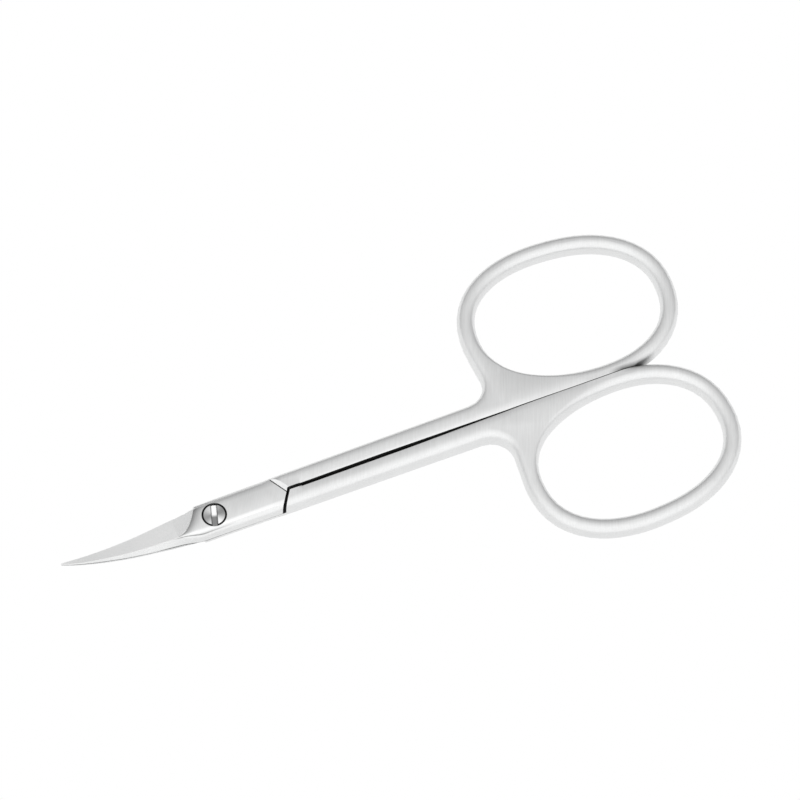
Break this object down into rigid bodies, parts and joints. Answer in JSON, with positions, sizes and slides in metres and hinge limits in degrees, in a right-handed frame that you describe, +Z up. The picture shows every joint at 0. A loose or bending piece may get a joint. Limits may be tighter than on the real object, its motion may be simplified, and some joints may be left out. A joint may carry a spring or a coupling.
{
  "type": "cuticle scissors",
  "caption": "Fine-pointed cuticle scissors with short upturned blades, a slotted pivot screw, slim straight shanks and oval finger rings.",
  "frame": {"origin": "on the pivot axis, at the ground underside of the joint", "axes": "+X from the pivot to the finger rings, +Y to the ring of the half that holds the screw's head, +Z up through the screw's head"},
  "size_m": [0.0923, 0.0454, 0.005],
  "materials": {
    "lower_steel": "satin, with bright edges along the shank and the blade",
    "upper_steel": "satin, with finely ground joint and bevel",
    "screw_steel": "turned and polished head with a milled slot"
  },
  "bodies": {
    "lower": {"lower_half": "lower_steel", "pivot_screw": "screw_steel"},
    "upper": {"upper_half": "upper_steel"}
  },
  "joints": [
    {"name": "pivot", "type": "hinge", "parent": "lower", "child": "upper", "pos_m": [0, 0, 0], "axis": [0, 0, 1], "range_deg": [0, 70]}
  ]
}
